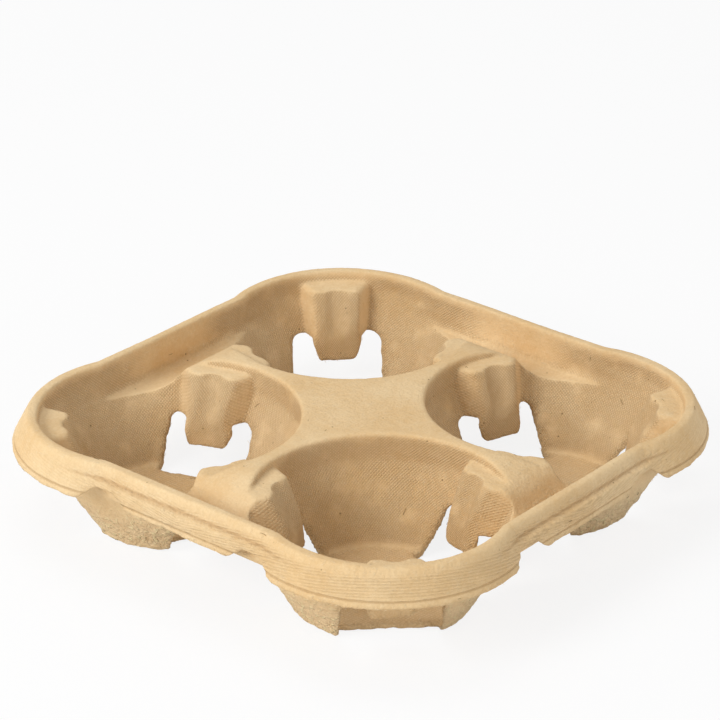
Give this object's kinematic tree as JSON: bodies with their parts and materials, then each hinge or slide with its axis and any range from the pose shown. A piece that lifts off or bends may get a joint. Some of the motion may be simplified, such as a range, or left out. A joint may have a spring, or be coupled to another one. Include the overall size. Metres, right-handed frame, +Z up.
{
  "type": "cup carrier",
  "caption": "Square moulded-pulp drink carrier tray with round cup pockets, holding fingers, open windows at the base and a lobed rim.",
  "frame": {"origin": "centre of the footprint, on the surface that the tray stands on", "axes": "+Z up; +X and +Y square to the tray's sides, which are alike"},
  "size_m": [0.2172, 0.2172, 0.0425],
  "materials": {
    "pulp": "matte"
  },
  "bodies": {
    "root": {"cup_carrier": "pulp"}
  },
  "joints": []
}
